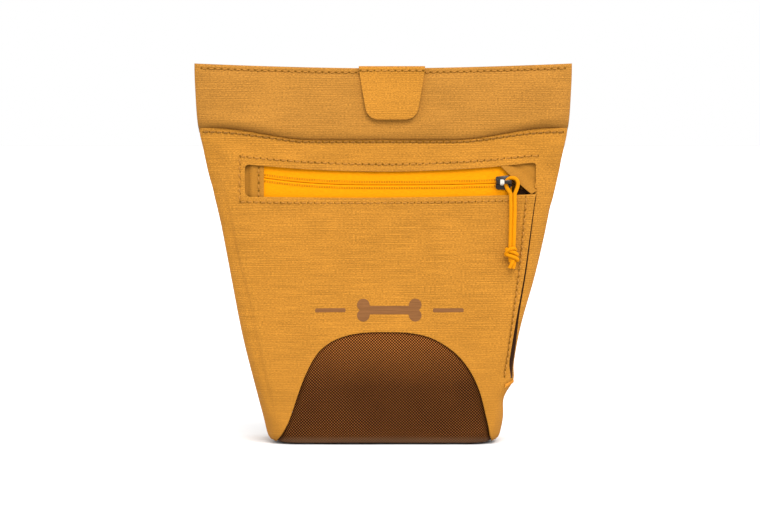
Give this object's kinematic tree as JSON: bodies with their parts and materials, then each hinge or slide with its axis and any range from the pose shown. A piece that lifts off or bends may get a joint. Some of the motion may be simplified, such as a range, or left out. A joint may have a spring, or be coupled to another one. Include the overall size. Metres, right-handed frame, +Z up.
{
  "type": "treat pouch",
  "caption": "Tapered fabric treat pouch with a magnetic hinged mouth and pull tab, a zipped front pocket with a side slit, a scuff panel, belt loops and a spring belt clip.",
  "frame": {"origin": "under the middle of the base panel, on the surface that the pouch stands on", "axes": "+Z up, the zipped front faces -Y, the side slit of the front pocket is at +X"},
  "size_m": [0.19, 0.0608, 0.1909],
  "materials": {
    "tan_canvas": "woven canvas with a slight slub",
    "brown_ballistic": "coarse basket weave",
    "coated_lining": "coated, wipe clean, slight sheen",
    "orange_tape": "fine woven tape",
    "orange_coil": "moulded monofilament coil",
    "orange_cord": "braided",
    "orange_thread": "dense satin stitch",
    "gunmetal": "dark plated, semi-gloss",
    "brown_webbing": "ribbed webbing",
    "black_plastic": "matte",
    "magnet_steel": "plated, glossy"
  },
  "bodies": {
    "pouch": {"front_wall": "tan_canvas", "back_wall": "tan_canvas", "left_gusset": "tan_canvas", "right_gusset": "tan_canvas", "pocket_panel": "tan_canvas", "back_band": "tan_canvas", "zip_end_patch": "tan_canvas", "zip_garage": "tan_canvas", "base_panel": "brown_ballistic", "front_scuff_patch": "brown_ballistic", "rear_scuff_patch": "brown_ballistic", "clip_patch": "brown_ballistic", "liner_front": "coated_lining", "liner_back": "coated_lining", "liner_left": "coated_lining", "liner_right": "coated_lining", "liner_base": "coated_lining", "zip_tape_upper": "orange_tape", "zip_tape_lower": "orange_tape", "zip_coil_upper": "orange_coil", "zip_coil_lower": "orange_coil", "slit_bar_tack": "orange_thread", "clip_plate": "gunmetal", "clip_rivet_upper": "gunmetal", "clip_rivet_lower": "gunmetal", "belt_loop_left": "brown_webbing", "belt_loop_right": "brown_webbing", "back_stay": "black_plastic", "back_magnet_left": "magnet_steel", "back_magnet_right": "magnet_steel"},
    "front_lip": {"front_band": "tan_canvas", "front_stay": "black_plastic", "front_magnet_left": "magnet_steel", "front_magnet_right": "magnet_steel", "tab_anchor": "tan_canvas"},
    "pull_tab": {"pull_tab": "tan_canvas"},
    "zip_slider": {"slider_body": "gunmetal"},
    "puller_eye": {"puller_loop": "orange_cord"},
    "puller_cord": {"puller_cord": "orange_cord"},
    "clip_tongue": {"clip_tongue": "gunmetal"}
  },
  "joints": [
    {"name": "lip_open", "type": "hinge", "parent": "pouch", "child": "front_lip", "pos_m": [0, -0.00938, 0.1527], "axis": [1, 0, 0], "range_deg": [0, 40], "stiffness_Nm_per_rad": 0.05},
    {"name": "tab_flip", "type": "hinge", "parent": "front_lip", "child": "pull_tab", "pos_m": [0.004, -0.00588, 0.18744], "axis": [-1, 0, 0], "range_deg": [0, 170]},
    {"name": "zip_slide", "type": "slide", "parent": "pouch", "child": "zip_slider", "axis": [-1, 0, 0], "range_m": [0, 0.114]},
    {"name": "puller_swing", "type": "hinge", "parent": "zip_slider", "child": "puller_eye", "pos_m": [0.0642, -0.01252, 0.1302], "axis": [0, -0.9898, 0.1427], "range_deg": [-40, 40]},
    {"name": "puller_lift", "type": "hinge", "parent": "puller_eye", "child": "puller_cord", "pos_m": [0.0642, -0.01563, 0.12408], "axis": [-1, 0, 0], "range_deg": [0, 100]},
    {"name": "clip_flex", "type": "hinge", "parent": "pouch", "child": "clip_tongue", "pos_m": [0, 0.01242, 0.13627], "axis": [1, 0, 0], "range_deg": [0, 8], "stiffness_Nm_per_rad": 0.6}
  ]
}
